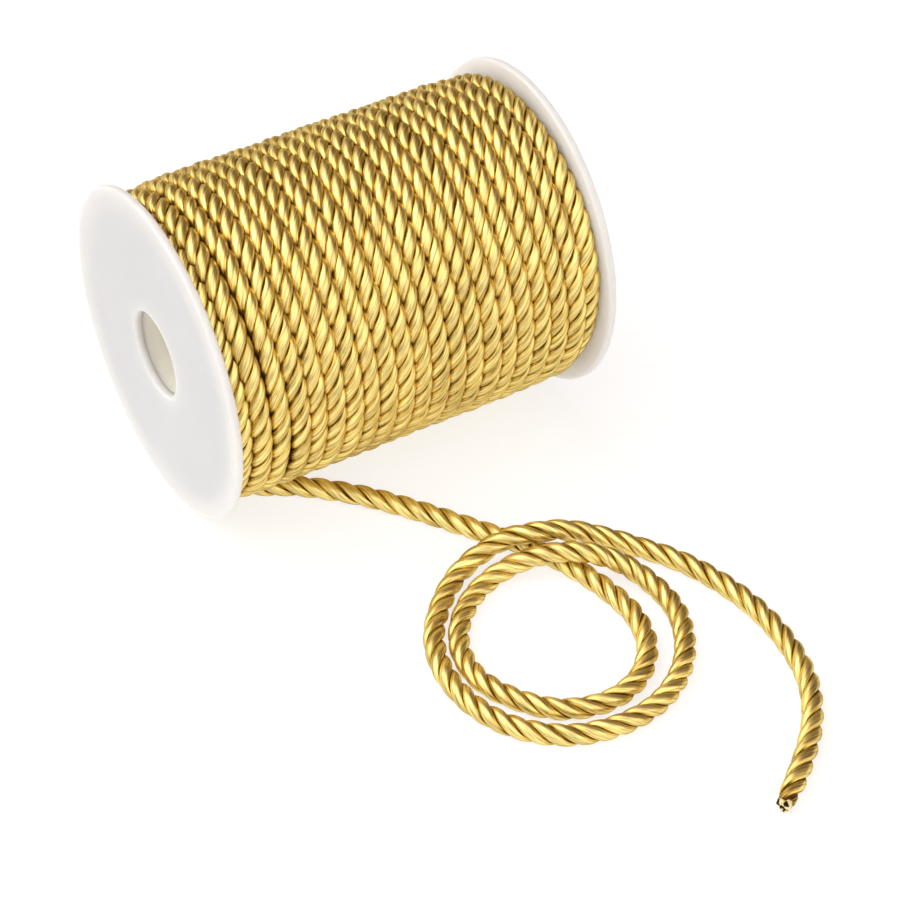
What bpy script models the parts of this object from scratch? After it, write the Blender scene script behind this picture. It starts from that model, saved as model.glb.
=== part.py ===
"""Spool of twisted cord trim.

A white spool, made of two flanges on a core tube, lies on its side with its
axis along X. A thick gold cord, laid up from three strands, is wound round it
in one even layer of turns. The cord's free end comes out from under the
winding, makes one and a half loops on the surface and ends in a cut tip.

The origin is on the surface, under the middle of the spool. +X runs along
the spool's axis, from the flange that the loose cord leaves to the other one.
The free end lies on the -Y side. Lengths are metres.
"""

import math

import bmesh
import bpy
from mathutils import Vector

MM = 0.001

# The spool
SPOOL_LENGTH = 97 * MM
FLANGE_RADIUS = 40 * MM
FLANGE_THICKNESS = 2 * MM
FLANGE_RIM_ROUNDING = 0.6 * MM
BORE_RADIUS = 10.3 * MM
BORE_EDGE_ROUNDING = 0.6 * MM
CORE_RADIUS = 12.6 * MM
FLAT_HALF_WIDTH = 6 * MM

# The cord: three strands that turn about each other like a right-hand screw
CORD_RADIUS = 2.5 * MM
STRAND_COUNT = 3
STRAND_RADIUS = 1.16 * MM
STRAND_FLANK_ANGLE = math.radians(40)
LOOSE_LAY = 14.6 * MM
TIP_TAPER_LENGTH = 6 * MM
TIP_SCALE = 0.75

# The winding, as one layer of turns round the layers under it
TURN_COUNT = 21
WOUND_RADIUS = 37.8 * MM
TURN_GROOVE_DEPTH = 1.3 * MM
NEAR_END_DROP = 1.7 * MM
NEAR_DROP_LENGTH = 14 * MM
FAR_END_DROP = 1.1 * MM
FAR_DROP_LENGTH = 17 * MM
TURN_UNEVENNESS = 0.15 * MM
UNEVENNESS_STEP = 1.7
# At this angle, from +Y towards +Z, a groove between two turns is this far from the near end
GROOVE_ANGLE = math.radians(97)
GROOVE_OFFSET = 2.7 * MM

# Clearances between neighbouring pieces
GAP = 0.3 * MM
SEAT_CLEARANCE = 0.35 * MM
SEAT_LENGTH = 24 * MM
REST_CLEARANCE = 0.02 * MM

# Fineness of the meshes
FLANGE_SIDES = 48
ROUNDING_STEPS = 3
WINDING_SIDES = 40
STEPS_PER_TURN = 4
STEPS_PER_LAY = 8
SEAT_SIDES_RESOLUTION = 3
ROUTE_SAMPLES = 24
EXTRA_TURNS = 2
SHARP_ANGLE = math.radians(40)

AXIS_HEIGHT = math.sqrt(FLANGE_RADIUS ** 2 - FLAT_HALF_WIDTH ** 2)
HALF_LENGTH = SPOOL_LENGTH / 2
WINDING_HALF_LENGTH = HALF_LENGTH - FLANGE_THICKNESS - GAP
TURN_PITCH = 2 * WINDING_HALF_LENGTH / TURN_COUNT

# The free end's route in millimetres, from its turn under the winding to its tip. The first
# run lies on the surface, and both loops cross over it as low humps.
LIES = (CORD_RADIUS + REST_CLEARANCE) / MM
ROUTE = [
    (-41.0, 1.0, 4.6),
    (-39.3, -5.0, 4.2),
    (-35.5, -11.0, 3.3),
    (-29.5, -15.5, 2.6),
    (-22.5, -19.6, LIES),
    (-12.0, -29.0, LIES),
    (-2.5, -40.5, LIES),
    (6.5, -53.0, LIES),
    (14.2, -63.6, LIES),
    (19.2, -74.5, LIES),
    (22.2, -85.0, LIES),
    (23.0, -94.0, LIES),
    (20.5, -103.0, LIES),
    (14.0, -110.0, LIES),
    (4.5, -112.8, LIES),
    (-5.5, -110.0, LIES),
    (-12.7, -102.7, LIES),
    (-16.9, -93.2, LIES),
    (-16.0, -83.3, LIES),
    (-10.7, -74.9, LIES),
    (-2.9, -69.2, LIES),
    (5.0, -67.8, 4.0),
    (12.3, -70.2, 6.6),
    (19.2, -74.3, 7.9),
    (25.5, -78.8, 6.6),
    (30.3, -84.8, 4.0),
    (32.3, -93.8, LIES),
    (30.0, -103.0, LIES),
    (24.0, -112.0, LIES),
    (14.5, -118.3, LIES),
    (3.0, -120.0, LIES),
    (-8.5, -117.0, LIES),
    (-17.5, -109.0, LIES),
    (-22.1, -98.5, LIES),
    (-22.5, -87.2, LIES),
    (-19.4, -77.5, LIES),
    (-13.1, -69.4, LIES),
    (-5.7, -63.4, 2.8),
    (1.7, -61.3, 4.6),
    (8.5, -62.0, 6.8),
    (15.2, -64.6, 7.9),
    (22.0, -66.6, 6.8),
    (29.0, -70.2, 4.4),
    (36.0, -76.3, LIES),
    (42.5, -86.5, LIES),
    (47.0, -99.5, LIES),
    (48.4, -113.0, LIES),
    (46.2, -127.5, LIES),
    (40.0, -139.2, LIES),
    (31.0, -148.6, LIES),
    (20.8, -156.8, LIES),
]


def clear_scene():
    """Remove every object of the scene."""
    for item in list(bpy.data.objects):
        bpy.data.objects.remove(item, do_unlink=True)


def principled(name, colour, roughness):
    """A plain non-metal material of one colour."""
    material = bpy.data.materials.new(name)
    material.use_nodes = True
    shader = material.node_tree.nodes["Principled BSDF"]
    shader.inputs["Base Color"].default_value = (*colour, 1.0)
    shader.inputs["Roughness"].default_value = roughness
    shader.inputs["Metallic"].default_value = 0.0
    return material


def add_mesh_object(name, bm, material=None, location=(0.0, 0.0, 0.0)):
    """Turn a bmesh into an object of the scene."""
    bmesh.ops.recalc_face_normals(bm, faces=bm.faces)
    mesh = bpy.data.meshes.new(name)
    bm.to_mesh(mesh)
    bm.free()
    item = bpy.data.objects.new(name, mesh)
    item.location = location
    if material:
        mesh.materials.append(material)
    bpy.context.collection.objects.link(item)
    return item


def make_cutter(item):
    """Mark an object as a tool that only shapes other objects."""
    item.hide_render = True
    item.display_type = "WIRE"
    return item


def shade_round(item):
    """Smooth shading, but for sharp edges."""
    item.data.shade_smooth()
    item.data.set_sharp_from_angle(angle=SHARP_ANGLE)


def corner_arc(x, radius, start_angle, rounding):
    """Points of a quarter circle about (x, radius), turning left from its start angle."""
    points = []
    for step in range(ROUNDING_STEPS + 1):
        angle = start_angle + math.pi / 2 * step / ROUNDING_STEPS
        points.append((x + rounding * math.cos(angle), radius + rounding * math.sin(angle)))
    return points


def turned_ring(profile, sides):
    """A ring about the X axis, turned from a closed outline of (x, radius) points."""
    bm = bmesh.new()
    verts = [bm.verts.new((x, radius, 0.0)) for x, radius in profile]
    edges = [bm.edges.new((a, b)) for a, b in zip(verts, verts[1:] + verts[:1])]
    bmesh.ops.spin(
        bm,
        geom=verts + edges,
        cent=(0.0, 0.0, 0.0),
        axis=(1.0, 0.0, 0.0),
        angle=2 * math.pi,
        steps=sides,
        use_merge=True,
    )
    return bm


def cut_flat(bm, height):
    """Slice off what lies below a height, and close the cut."""
    geom = list(bm.verts) + list(bm.edges) + list(bm.faces)
    cut = bmesh.ops.bisect_plane(
        bm,
        geom=geom,
        plane_co=(0.0, 0.0, height),
        plane_no=(0.0, 0.0, 1.0),
        clear_inner=True,
    )
    rim = [item for item in cut["geom_cut"] if isinstance(item, bmesh.types.BMEdge)]
    bmesh.ops.contextual_create(bm, geom=rim)


def build_flange(name, side, material):
    """A flat disc with a round rim, a hole and a narrow flat where it rests."""
    half = FLANGE_THICKNESS / 2
    rim = FLANGE_RIM_ROUNDING
    lip = BORE_EDGE_ROUNDING
    profile = []
    profile += corner_arc(half - rim, FLANGE_RADIUS - rim, 0.0, rim)
    profile += corner_arc(-half + rim, FLANGE_RADIUS - rim, math.pi / 2, rim)
    profile += corner_arc(-half + lip, BORE_RADIUS + lip, math.pi, lip)
    profile += corner_arc(half - lip, BORE_RADIUS + lip, 3 * math.pi / 2, lip)
    bm = turned_ring(profile, FLANGE_SIDES)
    cut_flat(bm, -AXIS_HEIGHT)
    centre = Vector((side * (HALF_LENGTH - half), 0.0, AXIS_HEIGHT))
    flange = add_mesh_object(name, bm, material, centre)
    shade_round(flange)
    return flange


def rectangle(half_length, inner, outer):
    """The outline of a plain tube."""
    return [(half_length, inner), (half_length, outer), (-half_length, outer), (-half_length, inner)]


def build_core(material):
    """The plain tube between the flanges."""
    half = HALF_LENGTH - FLANGE_THICKNESS - GAP
    bm = turned_ring(rectangle(half, BORE_RADIUS, CORE_RADIUS), FLANGE_SIDES)
    core = add_mesh_object("core_tube", bm, material, (0.0, 0.0, AXIS_HEIGHT))
    shade_round(core)
    return core


def end_drop(distance, drop, length):
    """How far the crests sink near a flange, at a distance from the winding's end."""
    return drop * max(0.0, 1.0 - distance / length) ** 2


def wound_radius(x, turn, angle):
    """Radius of the winding's surface, where turn counts the turns and their fraction."""
    number = math.floor(turn)
    across = 2 * (turn - number) - 1
    groove = TURN_GROOVE_DEPTH * (1 - math.sqrt(1 - across ** 2))
    uneven = TURN_UNEVENNESS * math.sin(UNEVENNESS_STEP * number) * math.sin(angle + number)
    near = end_drop(WINDING_HALF_LENGTH + x, NEAR_END_DROP, NEAR_DROP_LENGTH)
    far = end_drop(WINDING_HALF_LENGTH - x, FAR_END_DROP, FAR_DROP_LENGTH)
    return WOUND_RADIUS - groove - near - far + uneven * (1 - abs(across))


def helical_surface():
    """The ridged outside of the turns, as one helical strip, closed with a cone at each end."""
    first_groove = -WINDING_HALF_LENGTH + GROOVE_OFFSET
    columns = (TURN_COUNT + 2 * EXTRA_TURNS) * STEPS_PER_TURN
    bm = bmesh.new()
    grid = []
    for column in range(columns + 1):
        row = []
        for side in range(WINDING_SIDES):
            angle = 2 * math.pi * side / WINDING_SIDES
            turn = column / STEPS_PER_TURN - EXTRA_TURNS
            x = first_groove + TURN_PITCH * (turn + (angle - GROOVE_ANGLE) / (2 * math.pi))
            radius = wound_radius(x, turn, angle)
            row.append(bm.verts.new((x, radius * math.cos(angle), radius * math.sin(angle))))
        grid.append(row)
    for column in range(columns):
        for side in range(WINDING_SIDES - 1):
            bm.faces.new((grid[column][side], grid[column + 1][side],
                          grid[column + 1][side + 1], grid[column][side + 1]))
        if column + 1 + STEPS_PER_TURN <= columns:
            bm.faces.new((grid[column][-1], grid[column + 1][-1],
                          grid[column + 1 + STEPS_PER_TURN][0], grid[column + STEPS_PER_TURN][0]))
    for end in (-1, 1):
        rim = [edge for edge in bm.edges if edge.is_boundary and edge.verts[0].co.x * end > 0]
        apex = bm.verts.new((end * SPOOL_LENGTH, 0.0, 0.0))
        for edge in rim:
            bm.faces.new((edge.verts[0], edge.verts[1], apex))
    return bm


def build_winding(material, seat_cutter):
    """All the wound cord as one ridged ring, with a seat for the start of the loose end."""
    centre = (0.0, 0.0, AXIS_HEIGHT)
    winding = add_mesh_object("cord_winding", helical_surface(), material, centre)
    ring = turned_ring(rectangle(WINDING_HALF_LENGTH, CORE_RADIUS + GAP, FLANGE_RADIUS), FLANGE_SIDES)
    ring_cutter = make_cutter(add_mesh_object("winding_ring_cutter", ring, location=centre))
    for operation, cutter in (("INTERSECT", ring_cutter), ("DIFFERENCE", seat_cutter)):
        modifier = winding.modifiers.new(cutter.name, "BOOLEAN")
        modifier.operation = operation
        modifier.solver = "EXACT"
        modifier.object = cutter
    shade_round(winding)
    return winding


def smooth_route():
    """Closely spaced points of the smooth curve through the route's points, in metres."""
    knots = [Vector(point) * MM for point in ROUTE]
    knots.insert(0, 2 * knots[0] - knots[1])
    knots.append(2 * knots[-1] - knots[-2])
    points = []
    for a, b, c, d in zip(knots, knots[1:], knots[2:], knots[3:]):
        for sample in range(ROUTE_SAMPLES):
            t = sample / ROUTE_SAMPLES
            point = (2 * b + (c - a) * t + (2 * a - 5 * b + 4 * c - d) * t ** 2
                     + (3 * b - a - 3 * c + d) * t ** 3) / 2
            points.append(point)
    points.append(knots[-2])
    for point in points:
        point.z = max(point.z, LIES * MM)
    return points


def evenly_spaced(points, step):
    """Points at an even step along a polyline, both ends included."""
    lengths = [0.0]
    for a, b in zip(points, points[1:]):
        lengths.append(lengths[-1] + (b - a).length)
    count = round(lengths[-1] / step)
    spaced = []
    segment = 0
    for index in range(count + 1):
        target = lengths[-1] * index / count
        while segment < len(points) - 2 and lengths[segment + 1] < target:
            segment += 1
        share = (target - lengths[segment]) / (lengths[segment + 1] - lengths[segment])
        spaced.append(points[segment].lerp(points[segment + 1], share))
    return spaced, lengths[-1]


def strand_profile():
    """The cord's cross-section, clockwise: one rounded lobe for each strand."""
    centre_radius = CORD_RADIUS - STRAND_RADIUS
    flank = STRAND_FLANK_ANGLE
    flank_radius = (centre_radius * math.cos(flank)
                    + math.sqrt(STRAND_RADIUS ** 2 - (centre_radius * math.sin(flank)) ** 2))
    curve = bpy.data.curves.new("strand_profile", "CURVE")
    curve.dimensions = "3D"
    spline = curve.splines.new("POLY")
    spline.points.add(3 * STRAND_COUNT - 1)
    spline.use_cyclic_u = True
    index = 0
    for strand in range(STRAND_COUNT):
        for offset, radius in ((-flank, flank_radius), (0.0, CORD_RADIUS), (flank, flank_radius)):
            angle = -2 * math.pi * strand / STRAND_COUNT - offset
            spline.points[index].co = (radius * math.cos(angle), radius * math.sin(angle), 0.0, 1.0)
            index += 1
    profile = bpy.data.objects.new("strand_profile", curve)
    bpy.context.collection.objects.link(profile)
    return make_cutter(profile)


def build_loose_cord(route, material):
    """The free end, with its twist raised along its whole length and a drawn-in tip."""
    points, length = evenly_spaced(route, LOOSE_LAY / STEPS_PER_LAY)
    curve = bpy.data.curves.new("cord_loose", "CURVE")
    curve.dimensions = "3D"
    curve.twist_mode = "Z_UP"
    curve.bevel_mode = "OBJECT"
    curve.bevel_object = strand_profile()
    curve.use_fill_caps = True
    spline = curve.splines.new("POLY")
    spline.points.add(len(points) - 1)
    for index, point in enumerate(points):
        along = length * index / (len(points) - 1)
        to_tip = length - along
        taper = max(0.0, 1.0 - to_tip / TIP_TAPER_LENGTH)
        spline.points[index].co = (*point, 1.0)
        spline.points[index].tilt = 2 * math.pi * along / LOOSE_LAY
        spline.points[index].radius = 1.0 - (1.0 - TIP_SCALE) * taper
    cord = bpy.data.objects.new("cord_loose", curve)
    curve.materials.append(material)
    bpy.context.collection.objects.link(cord)
    return cord


def build_seat_cutter(route):
    """A plain tube a little wider than the cord, along the stretch that lies under the winding."""
    points, length = evenly_spaced(route, CORD_RADIUS)
    count = round(SEAT_LENGTH / CORD_RADIUS)
    start = points[0] + (points[0] - points[1]).normalized() * SEAT_CLEARANCE
    seat_points = [start] + points[1:count + 1]
    curve = bpy.data.curves.new("seat_path", "CURVE")
    curve.dimensions = "3D"
    curve.bevel_depth = CORD_RADIUS + SEAT_CLEARANCE
    curve.bevel_resolution = SEAT_SIDES_RESOLUTION
    curve.use_fill_caps = True
    spline = curve.splines.new("POLY")
    spline.points.add(len(seat_points) - 1)
    for index, point in enumerate(seat_points):
        spline.points[index].co = (*point, 1.0)
    path = bpy.data.objects.new("seat_path", curve)
    mesh = bpy.data.meshes.new_from_object(path)
    bpy.data.objects.remove(path)
    cutter = bpy.data.objects.new("seat_cutter", mesh)
    bpy.context.collection.objects.link(cutter)
    return make_cutter(cutter)


def main():
    clear_scene()
    plastic = principled("white_plastic", (0.86, 0.86, 0.84), 0.45)
    gold_yarn = principled("gold_yarn", (0.80, 0.52, 0.16), 0.42)
    build_flange("flange_near", -1, plastic)
    build_flange("flange_far", 1, plastic)
    build_core(plastic)
    route = smooth_route()
    build_winding(gold_yarn, build_seat_cutter(route))
    build_loose_cord(route, gold_yarn)


main()
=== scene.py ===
"""Spool of twisted cord trim, finished for rendering.

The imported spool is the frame: its flanges, winding and core give the spool's sizes and places.
The wound cord and its loose end are modelled strand by strand, and all pieces get procedural
finishes. The origin is on the surface under the middle of the spool, +X runs along its axis, and
lengths are metres.
"""

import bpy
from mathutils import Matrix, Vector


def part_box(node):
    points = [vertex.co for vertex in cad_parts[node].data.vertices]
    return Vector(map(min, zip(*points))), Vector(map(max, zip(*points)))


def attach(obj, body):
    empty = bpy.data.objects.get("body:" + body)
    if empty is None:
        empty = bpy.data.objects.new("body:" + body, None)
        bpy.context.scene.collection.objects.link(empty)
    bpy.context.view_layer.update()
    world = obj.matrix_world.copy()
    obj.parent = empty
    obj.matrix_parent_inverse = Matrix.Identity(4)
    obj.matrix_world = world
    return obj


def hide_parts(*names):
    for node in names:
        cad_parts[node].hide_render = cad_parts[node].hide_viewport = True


bl_info = {
    "name": "Spool of Twisted Cord Trim",
    "version": (1, 0, 0),
    "blender": (4, 5, 0),
    "location": "3D View > Sidebar > Cord Trim",
    "description": "Models a white spool of gold twisted cord with its loose end",
    "category": "Add Mesh",
}

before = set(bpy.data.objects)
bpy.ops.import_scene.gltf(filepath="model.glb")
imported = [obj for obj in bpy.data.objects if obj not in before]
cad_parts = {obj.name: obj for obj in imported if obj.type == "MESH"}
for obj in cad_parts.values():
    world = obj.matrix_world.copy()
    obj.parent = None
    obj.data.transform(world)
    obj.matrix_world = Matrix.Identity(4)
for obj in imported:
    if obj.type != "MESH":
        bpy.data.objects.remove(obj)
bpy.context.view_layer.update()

import math

import bmesh
import bpy
import numpy as np
from bpy.props import FloatProperty, FloatVectorProperty, IntProperty, PointerProperty
from bpy.types import Operator, Panel, PropertyGroup
from mathutils import Vector

MM = 0.001
BODY = "root"
WHITE = (1.0, 1.0, 1.0, 1.0)

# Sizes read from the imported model
FLANGE_LOW, FLANGE_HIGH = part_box("flange_near")
WINDING_LOW, WINDING_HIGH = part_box("cord_winding")
CORE_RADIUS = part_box("core_tube")[1].y
FLANGE_RADIUS = (FLANGE_HIGH.y - FLANGE_LOW.y) / 2
FLANGE_THICKNESS = FLANGE_HIGH.x - FLANGE_LOW.x
AXIS_HEIGHT = FLANGE_HIGH.z - FLANGE_RADIUS
HALF_LENGTH = -FLANGE_LOW.x
INNER_HALF_LENGTH = HALF_LENGTH - FLANGE_THICKNESS
WOUND_RADIUS = (WINDING_HIGH.y - WINDING_LOW.y) / 2

# The photographed spool stands turned a little about its near end and is a little longer. Its far
# flange leans outwards at the top, is a touch smaller and stands lower.
SPOOL_TURN = math.radians(0.8)
SPOOL_STRETCH = 1.0175
FAR_LEAN = 0.9 * MM
FAR_GROWTH = -0.05 * MM
FAR_SINK = 0.2 * MM

# The loose end's route, as in the part's source: its turn under the winding, one and a half
# loops on the surface, and its tip. Where no height is given the cord lies on the surface.
LIES = 0.00252
ROUTE = [
    (-0.0410, 0.0010, 0.0046),
    (-0.0393, -0.0050, 0.0042),
    (-0.0355, -0.0110, 0.0033),
    (-0.0295, -0.0155, 0.0026),
    (-0.0225, -0.0196, LIES),
    (-0.0120, -0.0290, LIES),
    (-0.0025, -0.0405, LIES),
    (0.0065, -0.0530, LIES),
    (0.0142, -0.0636, LIES),
    (0.0192, -0.0745, LIES),
    (0.0222, -0.0850, LIES),
    (0.0230, -0.0940, LIES),
    (0.0205, -0.1030, LIES),
    (0.0140, -0.1100, LIES),
    (0.0045, -0.1128, LIES),
    (-0.0055, -0.1100, LIES),
    (-0.0127, -0.1027, LIES),
    (-0.0169, -0.0932, LIES),
    (-0.0160, -0.0833, LIES),
    (-0.0107, -0.0749, LIES),
    (-0.0029, -0.0692, LIES),
    (0.0050, -0.0678, 0.0040),
    (0.0123, -0.0702, 0.0066),
    (0.0192, -0.0743, 0.0079),
    (0.0255, -0.0788, 0.0066),
    (0.0303, -0.0848, 0.0040),
    (0.0323, -0.0938, LIES),
    (0.0300, -0.1030, LIES),
    (0.0240, -0.1120, LIES),
    (0.0145, -0.1183, LIES),
    (0.0030, -0.1200, LIES),
    (-0.0085, -0.1170, LIES),
    (-0.0175, -0.1090, LIES),
    (-0.0221, -0.0985, LIES),
    (-0.0225, -0.0872, LIES),
    (-0.0194, -0.0775, LIES),
    (-0.0131, -0.0694, LIES),
    (-0.0057, -0.0634, 0.0028),
    (0.0017, -0.0613, 0.0046),
    (0.0085, -0.0620, 0.0068),
    (0.0152, -0.0646, 0.0079),
    (0.0220, -0.0666, 0.0068),
    (0.0290, -0.0702, 0.0044),
    (0.0360, -0.0763, LIES),
    (0.0425, -0.0865, LIES),
    (0.0470, -0.0995, LIES),
    (0.0484, -0.1130, LIES),
    (0.0462, -0.1275, LIES),
    (0.0400, -0.1392, LIES),
    (0.0310, -0.1486, LIES),
    (0.0208, -0.1568, LIES),
]
ROUTE_SAMPLES = 24
LOOSE_STEPS_PER_LAY = 24
LOOSE_RING = 6

# The lay of the loose end changes a little along it, and is longest at this place
LAY_CHANGE = 1.2 * MM
LAY_CHANGE_PERIOD = 380 * MM
LONGEST_LAY = 70 * MM

# The tip of the loose end narrows, and its last bit is melted. A ramp here and below is two
# values that it lies between and its results there.
TIP_TAPER_LENGTH = 7 * MM
TIP_SCALE = 0.72
MELTED_LENGTH = 1.3 * MM
FUSED_COLOUR = (0.80, 0.66, 0.32, 1.0)
SCORCHED_COLOUR = (0.012, 0.008, 0.004, 1.0)
SPOT_SCALE = 750.0
SPOT_RAMP = (0.44, 0.52, 1.0, 0.0)
MELTED_RAMP = (0.15, 0.5, 0.0, 1.0)

# The cord: three strands that turn about each other like a right-hand screw. Pressing gives the
# power that squares a strand's outline a little, and how much wider it gets round the cord.
STRANDS = 3
LOOSE_PRESSING = (0.92, 1.08)
WOUND_PRESSING = (0.90, 1.10)

# The yarn: how far it acts as metal and how far it is coated
METAL_SHARE = 0.87
COAT_SHARE = 0.18
ROUGHNESS_CHANGE = 0.18
GROOVE_ROUGHNESS = 0.4
COAT_ROUGHNESS = 0.25
COAT_IOR = 1.6
ANISOTROPY = 0.2
EDGE_TINT = (0.42, 0.28, 0.08, 1.0)
YARN_BUMP_STRENGTH = 0.28
YARN_BUMP_DEPTH = 0.06 * MM

# Streaks of filaments: scale round the strand, scale for each millimetre along it, and detail
FINE_STREAKS = (9.0, 0.35, 2.0)
COARSE_STREAKS = (2.6, 0.12, 2.0)
PATCH_STREAKS = (0.7, 0.06, 1.0)
WANDER_STREAKS = (0.5, 0.10, 1.0)
STREAK_ROUGHNESS = 0.55
TONE_RAMP = (0.36, 0.64, 0.60, 1.22)
PATCH_RAMP = (0.3, 0.7, 0.94, 1.05)

# Shares of the fine and the coarse streaks in the yarn's lightness and in its height
STREAK_TONES = (0.5, 0.5)
STREAK_HEIGHTS = (0.6, 0.9)

# The filaments' turns round the strand for each millimetre, and the bundles that they form
FILAMENT_TWIST = -0.035
BUNDLES = 6
BUNDLE_WANDER = 1.6
# The lines between the bundles: their width, their painted shade and their bump depth
LINE_WIDTH = 0.12
LINE_PAINTED_SHADE = 0.42
LINE_DEPTH = 0.45

# How far out from the cord's centre, as a share of its radius, the painted shade deep in the grooves
# and the richer painted shade on the strands' sides reach, and how uneven that is
GROOVE_PAINTED_SHADE_REACH = (0.69, 0.83)
FLANK_PAINTED_SHADE_REACH = (0.76, 0.94)
REACH_UNEVENNESS = 0.35

# In the winding a point counts as no further out than this, at the cord's middle and for its height, so
# the low sides of each turn, between the turns, get more painted shade
MIDDLE_OUTNESS = 0.57
OUTNESS_PER_HEIGHT = 0.50

# The spool's plastic, and the core's painted glow, which stands in for the light that its thin wall
# lets through
PLASTIC_ROUGHNESS = 0.42
PLASTIC_SPECULAR = 0.45
PLASTIC_BUMP_STRENGTH = 0.15
PLASTIC_BUMP_DEPTH = 0.05 * MM
CLOUD_SCALE = 45.0
CLOUD_RAMP = (0.3, 0.7, 0.975, 1.0)
SCUFF_SCALE = 420.0
SCUFF_ROUGHNESS = 0.16
GRAIN_SCALE = 2600.0
PLASTIC_HEIGHTS = (0.5, 1.0)
SHARP_ANGLE = math.radians(35)
LIGHT_SPREAD = 9 * MM
LIGHT_SPREAD_BY_COLOUR = (1.0, 0.95, 0.9)
CORE_PAINTED_GLOW = 0.10

# The winding, whose turns and the grooves between them are counted from the near end. A turn
# starts at the groove angle, which is measured from +Y towards +Z.
TURN_COUNT = 21
GROOVE_ANGLE = math.radians(97)
TURN_PITCH = (WINDING_HIGH.x - WINDING_LOW.x) / TURN_COUNT
FIRST_GROOVE = WINDING_LOW.x + 2.7 * MM
SETTLED_SHIFT = 0.8 * MM
SETTLE_RATE = 1.2
WOUND_STRANDS_PER_TURN = 46
PHASE_DRIFT = 0.12
DRIFT_WAVES = ((1.0, 1.7, 0.0), (0.6, 4.9, 1.0))
WOUND_STEPS_PER_LAY = 20
WOUND_RING = 4
FIRST_TURN = -1.40
LAST_TURN = 20.5
LEAST_HALF_WIDTH = 0.40
GREATEST_HALF_WIDTH = 0.48
NEAR_END_DROP = 1.7 * MM
NEAR_DROP_LENGTH = 14 * MM
FAR_END_DROP = 0.9 * MM
FAR_DROP_LENGTH = 17 * MM
SPREAD_FROM = 17.5
SPREAD = 0.45 * MM
NESTING_PITCH = 4.15 * MM
NESTING_SHARE = 0.45
WOBBLE = 0.16 * MM
WOBBLE_WAVES = ((1.0, 2.3, 0.4), (0.7, 7.1, 2.0), (0.4, 17.3, 0.0))
RISE = 0.14 * MM
RISE_WAVES = ((1.0, 5.3, 0.0), (1.0, 1.9, 1.0))
STRAND_OVERLAP = 0.1 * MM

# Places where two turns stand apart: groove, angle in degrees, half-width in degrees, gap
PARTINGS = (
    (1, 137, 52, 0.75 * MM),
    (2, 102, 34, 0.45 * MM),
    (2, 200, 16, 1.30 * MM),
    (0, 172, 30, 0.35 * MM),
)

# The turns of the layer below, seen only through the gaps, painted all over in the dark groove colour
# as painted shade
UNDER_LAYER_DEPTH = 3.9 * MM
UNDER_STEPS_PER_TURN = 90
UNDER_FIRST_TURN = -0.1
UNDER_LAST_TURN = TURN_COUNT - 1.9
UNDER_RADIUS = 0.46
UNDER_RING = 3

# How the wound cord gives way to the loose end's first run, which the route's first points make
UNDER_RUN = slice(0, ROUTE_SAMPLES * 6, 3)
CLEAR_SHARE = 0.99
SINK_ROUNDS = 12
SINK_SHARE = 0.6
SINK_BELOW = 20 * MM

# The photograph's view, and the frame's width in pixels with the focal length in the same units
CAMERA_PLACE = (-0.2587, -0.50923, 0.51656)
CAMERA_TILT = math.pi / 2 - 0.7471
CAMERA_TURN = -0.5133
FRAME_PIXELS = 900
FOCAL_PIXELS = 3200.6
SENSOR_WIDTH = 36.0
CLIP_START = 0.01

# The studio's bright side, as a unit direction from the object. An edge here is the cosines of
# the angles from its middle at which a side of the room fades out and is full.
KEY_DIRECTION = (-0.52, 0.34, 0.784)
KEY_DISTANCE = 1.2
KEY_TARGET = (0.0, -0.04, 0.03)
KEY_SIZE = 0.8
KEY_EDGE = (0.60, 0.92)

# A weaker light low in front of the object
FRONT_DIRECTION = (0.42, -0.86, 0.28)
FRONT_EDGE = (0.70, 0.92)

# The right side of the room, which is dark and warm, and the dimmer horizon
DARK_DIRECTION = (0.84, 0.30, 0.45)
DARK_EDGE = (0.45, 0.78)
DARK_TINT = (1.0, 0.46, 0.11, 1.0)
HORIZON_SHARE = 0.38
HORIZON_RISE = (0.05, 0.55)

# The surface
FLOOR_RADIUS = 3.0
FLOOR_SIDES = 96
FLOOR_CLOUD_SCALE = 6.0
FLOOR_CLOUD_DARKNESS = 0.99
FLOOR_ROUGHNESS = 0.85
FLOOR_SPECULAR = 0.2


class CordSettings(PropertyGroup):
    """Sizes and colours of the twisted cord."""

    diameter: FloatProperty(
        name="Diameter",
        description="Width of the loose cord over its strands",
        default=5 * MM,
        subtype="DISTANCE",
    )
    strand_radius: FloatProperty(
        name="Strand Radius",
        description="Half the thickness of one strand of the loose end",
        default=1.25 * MM,
        subtype="DISTANCE",
    )
    wound_strand_radius: FloatProperty(
        name="Wound Strand Radius",
        description="Half the thickness of one strand where the winding presses the cord flat",
        default=1.34 * MM,
        subtype="DISTANCE",
    )
    loose_lay: FloatProperty(
        name="Loose Lay",
        description="Length in which a strand of the loose end turns once about the others",
        default=14.6 * MM,
        subtype="DISTANCE",
    )
    yarn_colour: FloatVectorProperty(
        name="Yarn Colour",
        description="Colour of the satin filaments",
        default=(0.95, 0.735, 0.255),
        subtype="COLOR",
    )
    # Painted shade: the richer, darker colour put on the strands' sides
    flank_painted_shade_colour: FloatVectorProperty(
        name="Flank Colour",
        description="Richer colour on the sides of the strands",
        default=(0.87, 0.57, 0.10),
        subtype="COLOR",
    )
    # Painted shade: the dark colour put deep between the strands
    groove_painted_shade_colour: FloatVectorProperty(
        name="Groove Colour",
        description="Colour deep between the strands",
        default=(0.10, 0.042, 0.003),
        subtype="COLOR",
    )
    roughness: FloatProperty(
        name="Yarn Roughness",
        description="Roughness of the satin filaments",
        default=0.34,
        subtype="FACTOR",
    )


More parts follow.
